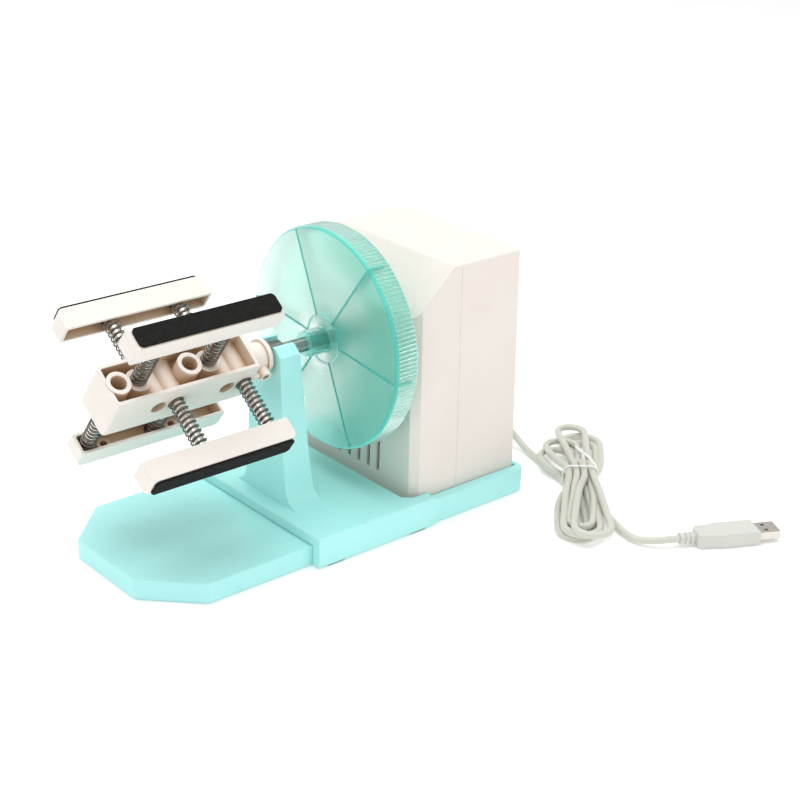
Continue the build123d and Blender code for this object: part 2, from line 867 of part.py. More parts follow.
def rod_screws(number):
    angle, first, depth = bars[number]
    inner = depth - seat_depth - guide_t - 0.2
    with BuildPart() as screws:
        with BuildSketch(arm_plane(angle, inner)):
            with Locations(*rod_spots(number)):
                Circle(3.9)
        extrude(amount=-1.9)
        with BuildSketch(arm_plane(angle, inner)):
            with Locations(*rod_spots(number)):
                Circle(1.2)
        extrude(amount=7)
        with BuildSketch(arm_plane(angle, inner - 1.9)):
            cross_recess(rod_spots(number))
        extrude(amount=1.0, mode=Mode.SUBTRACT)
    save(screws.part, f"bar_{number}_rod_screws")


def bar_springs(number):
    """Coil springs between the block's seats and the web of the bar."""
    angle, first, depth = bars[number]
    seat = depth - seat_depth + 0.02
    length = bar_outer - web_t - 0.05 - seat
    mean_r = spring_r - wire_d / 2
    for spot, place in zip(rod_spots(number), ("front", "back")):
        base = arm_plane(angle, seat + wire_d / 2)
        centre = base.origin + Vector(spot[0], 0, 0)
        height = length - wire_d
        with BuildPart() as spring:
            with BuildLine() as coil:
                Helix(height / spring_turns, height, mean_r, center=centre, direction=base.z_dir)
            with BuildSketch(Plane(origin=coil.line @ 0, z_dir=coil.line % 0)):
                Circle(wire_d / 2)
            sweep(path=coil.line)
        save(spring.part, f"bar_{number}_spring_{place}")


# ---- cord -----------------------------------------------------------------------
# The lead leaves the back of the housing, lies in a tied hank and ends in the plug.
lead_z = cord_d / 2 + 0.05
lead_points = [
    (189.0, 0.0, 24.0), (204.0, 0.0, 24.0), (216.5, -10.0, 11.0), (214.0, -30.0, lead_z),
    (208.0, -50.5, lead_z),
]
tail_points = [
    (204.0, -94.5, lead_z), (191.5, -111.5, lead_z), (182.0, -131.0, lead_z), (180.5, -147.0, lead_z),
    (188.9, -156.6, 4.6), (199.5, -162.0, 4.6),
]
plug_angle = -27.0
plug_start = (199.5, -162.0)


def corner_radii(points):
    """Largest round corner that leaves each straight run some length."""
    radii = []
    for before, at, after in zip(points, points[1:], points[2:]):
        one = Vector(*at) - Vector(*before)
        two = Vector(*after) - Vector(*at)
        half_turn = radians(one.get_angle(two)) / 2
        radii.append(0.45 * min(one.length, two.length) / tan(half_turn))
    return radii


def cord_tube(points, name):
    radii = corner_radii(points)
    print(name, "corner radii", [round(r, 1) for r in radii])
    with BuildPart() as tube:
        with BuildLine() as route:
            FilletPolyline(*points, radius=radii)
        with BuildSketch(Plane(origin=route.line @ 0, z_dir=route.line % 0)):
            Circle(cord_d / 2)
        sweep(path=route.line)
    area = pi * cord_d ** 2 / 4
    length = route.wires()[0].length
    print(name, "length", round(length, 1), "volume ratio", round(tube.part.volume / (area * length), 3))
    save(tube.part, name)


def cord_gland():
    with BuildPart() as gland:
        with BuildSketch(wall_plane(house_back - house_wall - 1.8)):
            with Locations((gland_y, gland_z)):
                Circle(5.2)
        extrude(amount=1.9)
        with BuildSketch(wall_plane(house_back - house_wall)):
            with Locations((gland_y, gland_z)):
                Circle(3.5)
        with BuildSketch(wall_plane(189.0)):
            with Locations((gland_y, gland_z)):
                Circle(2.5)
        loft()
    save(gland.part, "cord_gland")


# Hank: a closed solid with the outer shape of the tied turns. Its outline is given
# from the waist, as distances along the hank and across it.
waist = Vector(207.5, -78.0, 0)
hank_along = Vector(0.651, 0.759, 0)
hank_across = Vector(0.759, -0.651, 0)
hank_height = 14.0
hank_outline = [
    (76, -1), (72, 10), (50, 17), (24, 18.5), (0, 9.7), (-29, 12.6), (-60, 13),
    (-81, 4), (-74, -11), (-66, -17.5), (-38, -19), (0, -9.7), (29, -23.7), (52, -17),
]


def hank_point(along, across):
    place = waist + hank_along * along + hank_across * across
    return place.X, place.Y


def cord_hank():
    with BuildPart() as hank:
        with BuildSketch(Plane.XY.offset(0.05)):
            with BuildLine():
                Spline(*[hank_point(*spot) for spot in hank_outline], periodic=True)
            make_face()
        extrude(amount=hank_height)
    save(hank.part, "cord_hank")


def plug_plane(height=0.0):
    direction = (cos(radians(plug_angle)), sin(radians(plug_angle)), 0)
    return Plane(origin=(plug_start[0], plug_start[1], height), x_dir=direction, z_dir=(0, 0, 1))


plug_relief = 9.5
plug_body_len = 36.0
plug_half = 7.9
plug_t = 7.9
shell_len = 12.6


def plug_body():
    relief_plane = Plane(origin=plug_plane(4.6).origin, x_dir=(0, 0, 1), z_dir=plug_plane().x_dir)
    with BuildPart() as body:
        with BuildSketch(relief_plane):
            Circle(3.3)
        extrude(amount=plug_relief + 1)
        for step in (2.4, 5.2, 8.0):
            with BuildSketch(relief_plane.offset(step)):
                Circle(4)
                Circle(2.7, mode=Mode.SUBTRACT)
            extrude(amount=1.0, mode=Mode.SUBTRACT)
        with BuildSketch(plug_plane(0.7)):
            with BuildLine():
                Polyline(
                    (plug_relief, -4.2), (plug_relief + 1.5, -6.4), (plug_relief + 9, -6.7),
                    (plug_relief + 13.5, -plug_half), (plug_relief + plug_body_len, -plug_half),
                    (plug_relief + plug_body_len, plug_half), (plug_relief + 13.5, plug_half),
                    (plug_relief + 9, 6.7), (plug_relief + 1.5, 6.4), (plug_relief, 4.2), close=True,
                )
            make_face()
        extrude(amount=plug_t)
        slab = body.faces().filter_by(Axis.Z)
        fillet(slab.sort_by(Axis.Z)[-1].edges(), 0.8)
    save(body.part, "plug_body")


def plug_shell():
    start = plug_relief + plug_body_len
    mid_z = 0.7 + plug_t / 2
    with BuildPart() as shell:
        with BuildSketch(plug_plane(mid_z - 2.25)):
            with Locations((start + shell_len / 2, 0)):
                Rectangle(shell_len, 12.0)
        extrude(amount=4.5)
        with BuildSketch(plug_plane(mid_z - 1.93)):
            with Locations((start + shell_len / 2 + 0.5, 0)):
                Rectangle(shell_len, 11.36)
        extrude(amount=3.86, mode=Mode.SUBTRACT)
        with BuildSketch(plug_plane(mid_z)):
            with Locations((start + 5.2, -2.9), (start + 5.2, 2.9)):
                Rectangle(2.2, 2.0)
        extrude(amount=4, both=True, mode=Mode.SUBTRACT)
    save(shell.part, "plug_shell")


def plug_tongue():
    start = plug_relief + plug_body_len + 0.5
    mid_z = 0.7 + plug_t / 2
    with BuildPart() as tongue:
        with BuildSketch(plug_plane(mid_z - 1.93)):
            with Locations((start + (shell_len - 1.0) / 2, 0)):
                Rectangle(shell_len - 1.0, 11.3)
        extrude(amount=1.8)
    save(tongue.part, "plug_tongue")


def plug_contacts():
    start = plug_relief + plug_body_len + 1.0
    mid_z = 0.7 + plug_t / 2
    with BuildPart() as contacts:
        with BuildSketch(plug_plane(mid_z - 0.13)):
            for y, width, length in ((-3.5, 1.0, 9.4), (-1.0, 1.0, 8.4), (1.0, 1.0, 8.4), (3.5, 1.0, 9.4)):
                with Locations((start + length / 2, y)):
                    Rectangle(length, width)
        extrude(amount=0.25)
    save(contacts.part, "plug_contacts")


def twist_tie():
    """Flat wire tie around the waist of the hank."""
    tie_w = 2.4
    tie_t = 0.6
    across = Plane(origin=waist - hank_along * (tie_w / 2), x_dir=hank_across, z_dir=hank_along)
    with BuildPart() as tie:
        with BuildSketch(across):
            with Locations((0, -hank_height / 2 - tie_t)):
                RectangleRounded(2 * (9.8 + tie_t), hank_height + 2 * tie_t, 5.0)
                RectangleRounded(2 * 9.8, hank_height, 4.4, mode=Mode.SUBTRACT)
        extrude(amount=tie_w)
    save(tie.part, "twist_tie")


def main():
    slide_tray()
    tray_feet()
    base_sleeve()
    rear_base()
    base_feet()
    front_housing()
    rear_housing()
    housing_screws()
    base_screws()
    bush("cradle_bush", post_front + 0.4, 9.4, cradle_r - 0.05)
    bush("front_bearing", house_front - 1.2, 8.2, 7.0)
    bush("rear_bearing", 125.0, 4.0, 6.0)
    spindle_gear()
    idler_gear()
    idler_pin()
    motor_pinion()
    gear_plate()
    plate_screws()
    motor()
    circuit_board()
    board_parts()
    spindle_shaft()
    drive_wheel()
    hub_pin()
    chuck_block()
    chuck_grub_screw()
    for number in bars:
        grip_bar(number)
        grip_pad(number)
        bar_rods(number)
        rod_screws(number)
        bar_springs(number)
    cord_gland()
    cord_tube(lead_points, "cord_lead")
    cord_tube(tail_points, "cord_tail")
    cord_hank()
    twist_tie()
    plug_body()
    plug_shell()
    plug_tongue()
    plug_contacts()


main()
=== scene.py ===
import math

import bpy
from mathutils import Matrix, Vector


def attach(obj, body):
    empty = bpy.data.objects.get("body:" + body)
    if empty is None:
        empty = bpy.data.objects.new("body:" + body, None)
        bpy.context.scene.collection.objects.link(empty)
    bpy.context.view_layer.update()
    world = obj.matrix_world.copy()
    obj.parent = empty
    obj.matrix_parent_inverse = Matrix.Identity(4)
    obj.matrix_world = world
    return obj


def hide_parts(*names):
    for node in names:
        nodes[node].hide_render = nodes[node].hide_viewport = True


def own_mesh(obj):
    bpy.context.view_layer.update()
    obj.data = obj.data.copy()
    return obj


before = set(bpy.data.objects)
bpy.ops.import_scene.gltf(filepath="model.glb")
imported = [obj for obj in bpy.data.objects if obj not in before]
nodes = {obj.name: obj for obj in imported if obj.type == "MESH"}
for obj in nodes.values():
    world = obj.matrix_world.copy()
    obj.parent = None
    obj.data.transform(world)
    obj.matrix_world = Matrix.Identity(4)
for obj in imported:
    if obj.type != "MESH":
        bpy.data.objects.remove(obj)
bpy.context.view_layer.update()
scene = bpy.context.scene

# ---- shared dimensions, in metres, as the CAD has them --------------------------
MM = 0.001
MIDDLE_X = 60.0 * MM             # the CAD's own shift of its datum
AXIS_Z = 101.5 * MM              # height of the spindle

# ---- shared dimensions, in millimetres and degrees, in the CAD's datum ----------
BAR_TURN = {1: 126.5, 2: 36.5, 3: 216.5, 4: 306.5}       # direction of each bar from +Y
ROD_FIRST = {1: -49.2, 2: -39.4, 3: -28.8, 4: -61.4}     # X of each bar's front rod
ROD_PITCH = 42.4
BLOCK_DEPTH = {1: 13.9, 2: 12.3, 3: 12.3, 4: 13.9}       # axis to the block's face
SEAT_DEPTH = 2.3                 # depth of a spring's seat in the block
BAR_OUTER = 53.8                 # axis to a bar's outer face
WEB_T = 2.6                      # thickness of a bar's outer wall
BAR_ENDS = (-67.8, 21.8)
GLAND_EXIT = (189, 0, 24)


def at(x, y, z):
    """A point given in the CAD's datum, in millimetres, as a point of the frame."""
    return Vector((x * MM - MIDDLE_X, y * MM, z * MM))


# ---- camera ---------------------------------------------------------------------
CAMERA_PLACE = (-469.7, -687.0, 451.1)
CAMERA_RIGHT = (0.75958, -0.64982, 0.02778)
CAMERA_UP = (0.24251, 0.32258, 0.91495)
CAMERA_BACK = (-0.60352, -0.68824, 0.40261)
LENS_LENGTH = 76.71
SENSOR_WIDTH = 36.0


def add_camera():
    data = bpy.data.cameras.new("camera")
    data.lens = LENS_LENGTH
    data.sensor_width = SENSOR_WIDTH
    data.clip_start = 0.02
    data.clip_end = 50.0
    camera = bpy.data.objects.new("camera", data)
    scene.collection.objects.link(camera)
    turn = Matrix((CAMERA_RIGHT, CAMERA_UP, CAMERA_BACK)).transposed().to_4x4()
    camera.matrix_world = Matrix.Translation(at(*CAMERA_PLACE)) @ turn
    scene.camera = camera


add_camera()


# ---- lead -----------------------------------------------------------------------
# It leaves the housing, lies in a tied hank of ten loops, five to each side of the
# tie, and ends in the plug. The hank is laid out from its waist: distance along it,
# distance across it and height.
LEAD_RADIUS = 2.1 * MM
WAIST = (207.5, -78.0)
ALONG = (0.651, 0.759)
ACROSS = (0.759, -0.651)
LEAD_ROUTE = [
    GLAND_EXIT, (197, 0, 24), (205, 0, 23.2), (213.5, -4, 16), (217, -13, 7), (216, -24, 2.6),
    (213, -36, 2.15), (209, -48, 2.15), (206, -58.2, 2.3),
]
TAIL_ROUTE = [
    (208.2, -88.6, 2.15), (200.5, -99, 2.15), (193.5, -111.5, 2.15), (185, -131, 2.15), (181.6, -145, 2.5),
    (187.5, -155.5, 4.3), (193.5, -158.9, 4.6), (199.5, -162, 4.6),
]
# Places in the tie, lowest layer first, as (across, height).
SLOTS = {
    "a1": (-6.9, 2.8), "a2": (-2.3, 2.8), "a3": (2.3, 2.8), "a4": (6.9, 2.8),
    "b1": (-4.6, 6.9), "b2": (0.0, 6.9), "b3": (4.6, 6.9),
    "c1": (-6.9, 11.0), "c2": (-2.3, 11.0), "c3": (2.3, 11.0), "c4": (6.9, 11.0),
}
# Each loop: side of the waist, place in, place out, widest point on the way out
# (across, height), tip (reach, across, height), bend radius, widest point back.
LOOPS = [
    (-1, "a1", "b2", (-15.5, 2.15), (67, -7.0, 2.15), 10.5, (3.5, 3.2)),
    (1, "b2", "a2", (-3.0, 4.5), (42, -11.5, 4.8), 9.5, (-20.0, 6.3)),
    (-1, "a2", "b1", (-10.0, 2.15), (59, -7.2, 2.15), 6.8, (-2.0, 3.5)),
    (1, "b1", "c1", (1.0, 9.4), (53, -7.0, 5.9), 10.0, (-15.5, 10.4)),
    (-1, "c1", "a3", (-11.5, 8.0), (71, -4.5, 6.3), 10.5, (6.0, 5.0)),
    (1, "a3", "b3", (3.5, 2.15), (58, 7.0, 2.15), 7.6, (12.0, 2.6)),
    (-1, "b3", "c2", (5.5, 7.4), (61, -4.8, 6.3), 6.6, (-6.5, 8.8)),
    (1, "c2", "c4", (-5.5, 10.8), (72, 0.5, 6.8), 8.6, (6.5, 10.8)),
    (-1, "c4", "c3", (9.5, 9.6), (77, 0.5, 9.4), 10.5, (-5.0, 11.6)),
    (1, "c3", "a4", (0.8, 5.0), (69, 6.2, 2.15), 12.0, (16.0, 2.15)),
]


def hank_point(along, across, height):
    x = WAIST[0] + along * ALONG[0] + across * ACROSS[0]
    y = WAIST[1] + along * ALONG[1] + across * ACROSS[1]
    return at(x, y, height)


# From the tie to the widest point: share of the reach, of the swing out and of the climb.
BELLY_AT = 0.45
BELLY_STEPS = ((0.12, 0.12, 0.0), (0.26, 0.62, 0.45), (BELLY_AT, 1.0, 1.0))
BEND_STEP = 30


def half_loop(side, start, belly, reach, bend_end, tip_height):
    """Points from the tie past the widest point to where the bend begins."""
    points = []
    for far, swing, climb in BELLY_STEPS:
        across = start[0] + (belly[0] - start[0]) * swing
        height = start[1] + (belly[1] - start[1]) * climb
        points.append(hank_point(side * far * reach, across, height))
    middle = (BELLY_AT * reach + bend_end[0]) / 2
    points.append(hank_point(side * middle, (belly[0] + bend_end[1]) / 2, (belly[1] + tip_height) / 2))
    return points


def hank_loop(side, place_in, place_out, belly_in, tip, bend, belly_out):
    reach, across, height = tip
    turning = 1 if belly_in[0] < belly_out[0] else -1
    begin = (reach - bend, across - turning * bend)
    end = (reach - bend, across + turning * bend)
    points = half_loop(side, SLOTS[place_in], belly_in, reach, begin, height)
    for step in range(-3, 4):
        a = math.radians(BEND_STEP * step)
        points.append(hank_point(
            side * (reach - bend + bend * math.cos(a)), across + turning * bend * math.sin(a), height))
    points += reversed(half_loop(side, SLOTS[place_out], belly_out, reach, end, height))
    points.append(hank_point(0, *SLOTS[place_out]))
    return points


def lead_points():
    points = [at(*spot) for spot in LEAD_ROUTE]
    points.append(hank_point(0, *SLOTS["a1"]))
    for loop in LOOPS:
        points += hank_loop(*loop)
    return points + [at(*spot) for spot in TAIL_ROUTE]


def add_lead():
    """One smooth curve; each point's radius scales a bevel that is given in millimetres."""
    curve = bpy.data.curves.new("lead", "CURVE")
    curve.dimensions = "3D"
    curve.bevel_depth = LEAD_RADIUS / MM
    curve.bevel_resolution = 6
    curve.resolution_u = 8
    curve.use_fill_caps = True
    points = lead_points()
    spline = curve.splines.new("NURBS")
    spline.points.add(len(points) - 1)
    for knot, point in zip(spline.points, points):
        knot.co = (*point, 1.0)
        knot.radius = MM
    spline.order_u = 3
    spline.use_endpoint_u = True
    lead = bpy.data.objects.new("lead", curve)
    scene.collection.objects.link(lead)
    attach(lead, "base")
    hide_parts("cord_lead", "cord_hank", "cord_tail")
    return lead


lead = add_lead()


# ---- mesh helpers ---------------------------------------------------------------
def add_mesh(name, points, faces, material, body, smooth_angle=35.0):
    mesh = bpy.data.meshes.new(name)
    mesh.from_pydata([tuple(p) for p in points], [], faces)
    mesh.update()
    piece = bpy.data.objects.new(name, mesh)
    scene.collection.objects.link(piece)
    mesh.materials.append(material)
    if smooth_angle:
        mesh.shade_smooth()
        mesh.set_sharp_from_angle(angle=math.radians(smooth_angle))
    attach(piece, body)
    return piece


def tube_mesh(path, radius, sides):
    """Points and faces of a closed round tube along a list of points."""
    points, faces = [], []
    last = len(path) - 1
    tangents = [(path[min(i + 1, last)] - path[max(i - 1, 0)]).normalized() for i in range(last + 1)]
    side = tangents[0].orthogonal().normalized()
    for place, along in zip(path, tangents):
        side = (side - along * side.dot(along)).normalized()
        other = along.cross(side)
        for k in range(sides):
            a = 2 * math.pi * k / sides
            points.append(place + radius * (math.cos(a) * side + math.sin(a) * other))
    for i in range(last):
        for k in range(sides):
            n = (k + 1) % sides
            faces.append((i * sides + k, i * sides + n, (i + 1) * sides + n, (i + 1) * sides + k))
    faces.append(tuple(reversed(range(sides))))
    faces.append(tuple(range(last * sides, (last + 1) * sides)))
    return points, faces


# ---- materials ------------------------------------------------------------------
# Texture scales, in repeats per metre.
CLOUD = 24.0                     # slow changes of tone
GLOSS = 90.0                     # patches of uneven gloss
GRAIN = 2600.0                   # satin grain of moulded plastic
VINYL_GRAIN = 1800.0
PORES = 2400.0                   # open pores of foam rubber
# Distances in the materials, in metres.
EDGE_RADIUS = 0.5 * MM           # rounding of a moulded edge
METAL_EDGE = 0.2 * MM
HOLLOW_REACH = 20.0 * MM         # how far a hollow's shade looks for walls
GRAIN_DEPTH = 0.1 * MM
LINE_DEPTH = 0.04 * MM
PORE_DEPTH = 0.3 * MM


def node_material(name):
    material = bpy.data.materials.new(name)
    material.use_nodes = True
    tree = material.node_tree
    return material, tree, tree.nodes["Principled BSDF"]


def noise(tree, scale, detail=3.0, roughness=0.55, stretch=None):
    coordinates = tree.nodes.new("ShaderNodeTexCoord")
    texture = tree.nodes.new("ShaderNodeTexNoise")
    texture.inputs["Scale"].default_value = scale
    texture.inputs["Detail"].default_value = detail
    texture.inputs["Roughness"].default_value = roughness
    if stretch is None:
        tree.links.new(coordinates.outputs["Object"], texture.inputs["Vector"])
    else:
        mapping = tree.nodes.new("ShaderNodeMapping")
        mapping.inputs["Scale"].default_value = stretch
        tree.links.new(coordinates.outputs["Object"], mapping.inputs["Vector"])
        tree.links.new(mapping.outputs["Vector"], texture.inputs["Vector"])
    return texture.outputs["Fac"]


def spread(tree, value, low, high, start=0.3, end=0.7):
    """Maps a texture's middle range to low..high."""
    node = tree.nodes.new("ShaderNodeMapRange")
    node.inputs["From Min"].default_value = start
    node.inputs["From Max"].default_value = end
    node.inputs["To Min"].default_value = low
    node.inputs["To Max"].default_value = high
    tree.links.new(value, node.inputs["Value"])
    return node.outputs["Result"]


def blend(tree, factor, first, second):
    node = tree.nodes.new("ShaderNodeMix")
    node.data_type = "RGBA"
    sockets = {s.identifier: s for s in node.inputs}
    for identifier, value in (("A_Color", first), ("B_Color", second)):
        if isinstance(value, tuple):
            sockets[identifier].default_value = (*value, 1.0)
        else:
            tree.links.new(value, sockets[identifier])
    tree.links.new(factor, sockets["Factor_Float"])
    return next(s for s in node.outputs if s.identifier == "Result_Color")


def edge_wear_and_highlight_mask(tree, radius):
    """1 on convex and concave edges, 0 on flat faces."""
    bevel = tree.nodes.new("ShaderNodeBevel")
    bevel.samples = 4
    bevel.inputs["Radius"].default_value = radius
    geometry = tree.nodes.new("ShaderNodeNewGeometry")
    dot = tree.nodes.new("ShaderNodeVectorMath")
    dot.operation = "DOT_PRODUCT"
    tree.links.new(bevel.outputs["Normal"], dot.inputs[0])
    tree.links.new(geometry.outputs["Normal"], dot.inputs[1])
    return spread(tree, dot.outputs["Value"], 1.0, 0.0, 0.75, 0.99)


def surface_bump(tree, shader, height, strength, distance, round_edges):
    bump = tree.nodes.new("ShaderNodeBump")
    bump.inputs["Strength"].default_value = strength
    bump.inputs["Distance"].default_value = distance
    tree.links.new(height, bump.inputs["Height"])
    if round_edges:
        bevel = tree.nodes.new("ShaderNodeBevel")
        bevel.samples = 4
        bevel.inputs["Radius"].default_value = round_edges
        tree.links.new(bevel.outputs["Normal"], bump.inputs["Normal"])
    tree.links.new(bump.outputs["Normal"], shader.inputs["Normal"])


def painted_hollow_shade_mask(tree, reach):
    """Where painted shade goes: 1 far inside hollows, 0 on open faces."""
    occlusion = tree.nodes.new("ShaderNodeAmbientOcclusion")
    occlusion.samples = 8
    occlusion.inputs["Distance"].default_value = reach
    return spread(tree, occlusion.outputs["AO"], 1.0, 0.0, 0.25, 0.80)


def plastic(name, colour, shade, edge, roughness=0.38, grain=GRAIN, round_edges=EDGE_RADIUS,
            soft=0.0, painted_hollow_shade=None):
    """Moulded plastic: cloudy tone, satin grain, lighter edges that are partly rubbed wear and partly
    painted highlight, painted warm shade in hollows where given, and uneven gloss.
    """
    material, tree, shader = node_material(name)
    cloud = spread(tree, noise(tree, CLOUD), 0.0, 1.0)
    tone = blend(tree, cloud, colour, shade)
    # Lighter edges: partly rubbed wear, partly a painted highlight.
    if edge:
        tone = blend(tree, edge_wear_and_highlight_mask(tree, EDGE_RADIUS), tone, edge)
    # Painted shade: a warm tan laid into hollows by occlusion, in place of light bounced inside the
    # plastic.
    if painted_hollow_shade:
        tone = blend(tree, painted_hollow_shade_mask(tree, HOLLOW_REACH), tone, painted_hollow_shade)
    tree.links.new(tone, shader.inputs["Base Color"])
    rough = spread(tree, noise(tree, GLOSS, 4.0), roughness - 0.06, roughness + 0.07)
    tree.links.new(rough, shader.inputs["Roughness"])
    surface_bump(tree, shader, noise(tree, grain, 2.0), 0.12, GRAIN_DEPTH, round_edges)
    if soft:
        shader.inputs["Subsurface Weight"].default_value = soft
        shader.inputs["Subsurface Radius"].default_value = (0.004, 0.002, 0.0012)
        shader.inputs["Subsurface Scale"].default_value = 0.5
    return material


def metal(name, colour, dark, roughness, stretch, round_edges=METAL_EDGE):
    """Drawn or ground metal: stretch gives the scale of its fine lines along X, Y and Z."""
    material, tree, shader = node_material(name)
    lines = noise(tree, 1.0, 4.0, 0.7, stretch)
    patches = spread(tree, noise(tree, 160.0, 3.0), 0.0, 0.6)
    tone = blend(tree, patches, colour, dark)
    tree.links.new(tone, shader.inputs["Base Color"])
    shader.inputs["Metallic"].default_value = 1.0
    rough = spread(tree, lines, roughness - 0.08, roughness + 0.12)
    tree.links.new(rough, shader.inputs["Roughness"])
    surface_bump(tree, shader, lines, 0.25, LINE_DEPTH, round_edges)
    return material


def foam_rubber(name):
    """Black foam strip: open pores with a slightly grey bloom."""
    material, tree, shader = node_material(name)
    pores = noise(tree, PORES, 3.0, 0.6)
    bloom = spread(tree, pores, 0.0, 1.0, 0.35, 0.7)
    tone = blend(tree, bloom, (0.003, 0.0028, 0.0025), (0.014, 0.013, 0.012))
    tree.links.new(tone, shader.inputs["Base Color"])
    tree.links.new(spread(tree, noise(tree, 300.0), 0.78, 0.95), shader.inputs["Roughness"])
    shader.inputs["Specular IOR Level"].default_value = 0.25
    surface_bump(tree, shader, pores, 0.7, PORE_DEPTH, 0.0)
    return material


def clear_teal(name, light, dark, clear, roughness):
    """Tinted clear moulding with a frosted face."""
    material, tree, shader = node_material(name)
    cloud = spread(tree, noise(tree, 14.0, 2.0), 0.0, 1.0)
    tree.links.new(blend(tree, cloud, light, dark), shader.inputs["Base Color"])
    rough = spread(tree, noise(tree, 60.0), roughness - 0.03, roughness + 0.05)
    tree.links.new(rough, shader.inputs["Roughness"])
    shader.inputs["Transmission Weight"].default_value = clear
    shader.inputs["IOR"].default_value = 1.2
    shader.inputs["Coat Weight"].default_value = 0.3
    shader.inputs["Coat Roughness"].default_value = 0.12
    return material


# Third colour of each plastic: its lighter edges, partly rubbed wear and partly painted highlight.
ivory = plastic("ivory_plastic", (0.89, 0.83, 0.775), (0.86, 0.795, 0.735), (0.94, 0.90, 0.86),
                # Last colour: painted warm shade for the hollows.
                soft=0.1, painted_hollow_shade=(0.66, 0.48, 0.32))
housing_ivory = plastic("housing_ivory", (0.85, 0.785, 0.73), (0.83, 0.76, 0.70), (0.90, 0.85, 0.81), 0.42)
aqua = plastic("aqua_plastic", (0.47, 0.92, 0.90), (0.44, 0.895, 0.875), None, 0.33, round_edges=0.0)
teal = clear_teal("clear_teal", (0.41, 0.85, 0.74), (0.34, 0.81, 0.69), 0.70, 0.34)
teal_edge = clear_teal("teal_edge", (0.17, 0.77, 0.68), (0.13, 0.73, 0.64), 0.45, 0.2)
teal_hub = clear_teal("teal_hub", (0.30, 0.80, 0.74), (0.25, 0.76, 0.70), 0.88, 0.08)
foam = foam_rubber("foam_rubber")
foot_rubber = plastic("foot_rubber", (0.05, 0.05, 0.052), (0.035, 0.035, 0.036), (0.09, 0.09, 0.09), 0.7)
rod_steel = metal("rod_steel", (0.86, 0.83, 0.78), (0.72, 0.69, 0.64), 0.20, (900.0, 60.0, 60.0))
shaft_steel = metal("shaft_steel", (0.42, 0.41, 0.39), (0.30, 0.29, 0.28), 0.24, (60.0, 900.0, 900.0))
spring_wire = metal("spring_wire", (0.22, 0.205, 0.185), (0.13, 0.12, 0.11), 0.26, (300.0, 300.0, 300.0))
bush_steel = metal("bush_steel", (0.22, 0.22, 0.215), (0.14, 0.14, 0.138), 0.30, (80.0, 900.0, 900.0))
screw_steel = metal("screw_steel", (0.62, 0.61, 0.60), (0.45, 0.44, 0.43), 0.30, (500.0, 500.0, 500.0))
bronze = metal("bronze", (0.60, 0.42, 0.22), (0.42, 0.28, 0.14), 0.38, (500.0, 500.0, 500.0))
plated = metal("plated_shell", (0.70, 0.66, 0.61), (0.60, 0.56, 0.51), 0.24, (600.0, 80.0, 80.0), 0.1 * MM)
gold = metal("contact_gold", (0.86, 0.62, 0.26), (0.75, 0.50, 0.20), 0.25, (600.0, 80.0, 80.0), 0.0)
acetal = plastic("acetal", (0.88, 0.88, 0.85), (0.84, 0.84, 0.81), (0.93, 0.93, 0.91), 0.35)
board_green = plastic("board_green", (0.02, 0.16, 0.06), (0.015, 0.12, 0.045), (0.20, 0.22, 0.10), 0.3)
chip_black = plastic("chip_black", (0.02, 0.02, 0.02), (0.03, 0.03, 0.03), (0.06, 0.06, 0.06), 0.5)
vinyl = plastic("lead_vinyl", (0.64, 0.645, 0.57), (0.60, 0.605, 0.53), (0.66, 0.66, 0.60),
                0.42, VINYL_GRAIN, 0.0)
plug_vinyl = plastic("plug_vinyl", (0.66, 0.67, 0.62), (0.62, 0.63, 0.58), (0.76, 0.765, 0.72),
                     0.40, VINYL_GRAIN, 0.4 * MM)
tie_white = plastic("tie_white", (0.93, 0.93, 0.92), (0.89, 0.89, 0.88), (0.97, 0.97, 0.96), 0.35)

FINISHES = {
    "base_sleeve": aqua, "rear_base": aqua, "slide_tray": aqua,
    "front_housing": housing_ivory, "rear_housing": housing_ivory, "chuck_block": ivory,
    "drive_wheel": teal, "spindle_shaft": shaft_steel, "cradle_bush": bush_steel,
    "front_bearing": bronze, "rear_bearing": bronze, "idler_pin": shaft_steel,
    "gear_plate": screw_steel, "motor": screw_steel, "spindle_gear": acetal, "idler_gear": acetal,
    "motor_pinion": acetal, "housing_screws": screw_steel, "base_screws": screw_steel,
    "plate_screws": screw_steel, "hub_grub_screw": screw_steel, "chuck_grub_screw": screw_steel,
    "base_feet": foot_rubber, "tray_feet": foot_rubber, "circuit_board": board_green,
    "board_parts": chip_black, "cord_gland": plug_vinyl, "cord_lead": vinyl, "cord_tail": vinyl,
    "cord_hank": vinyl, "twist_tie": tie_white, "plug_body": plug_vinyl, "plug_shell": plated,
    "plug_tongue": tie_white, "plug_contacts": gold,
}
for number in BAR_TURN:
    FINISHES[f"grip_bar_{number}"] = ivory
    FINISHES[f"grip_pad_{number}"] = foam
    FINISHES[f"bar_{number}_rods"] = rod_steel
    FINISHES[f"bar_{number}_rod_screws"] = screw_steel
    FINISHES[f"bar_{number}_spring_front"] = spring_wire
    FINISHES[f"bar_{number}_spring_back"] = spring_wire
for name, piece in nodes.items():
    piece.data.materials.clear()
    piece.data.materials.append(FINISHES[name])
lead.data.materials.append(vinyl)


# ---- drive wheel ----------------------------------------------------------------
RIDGES = 168
RIDGE_DEPTH = 0.48
STEPS_PER_RIDGE = 6
WHEEL_R = 63.5
RIM_INNER = 61.5
RIM_BACK = 89.4
RIDGES_FROM = 76.9
RIDGES_TO = 88.6
PLATE_FRONT = 74.6
PLATE_BACK = 76.6
HUB_FRONT = 61.7
HUB_BACK = 86.6
HUB_R = 7.5
SHAFT_R = 4.0
RING_INNER = 13.2                # stiffening ring behind the plate
RING_OUTER = 14.5
RING_BACK = 81.6
# Tints of the bands of the section, as material slots.
FACE, EDGE, SLEEVE = 0, 1, 2
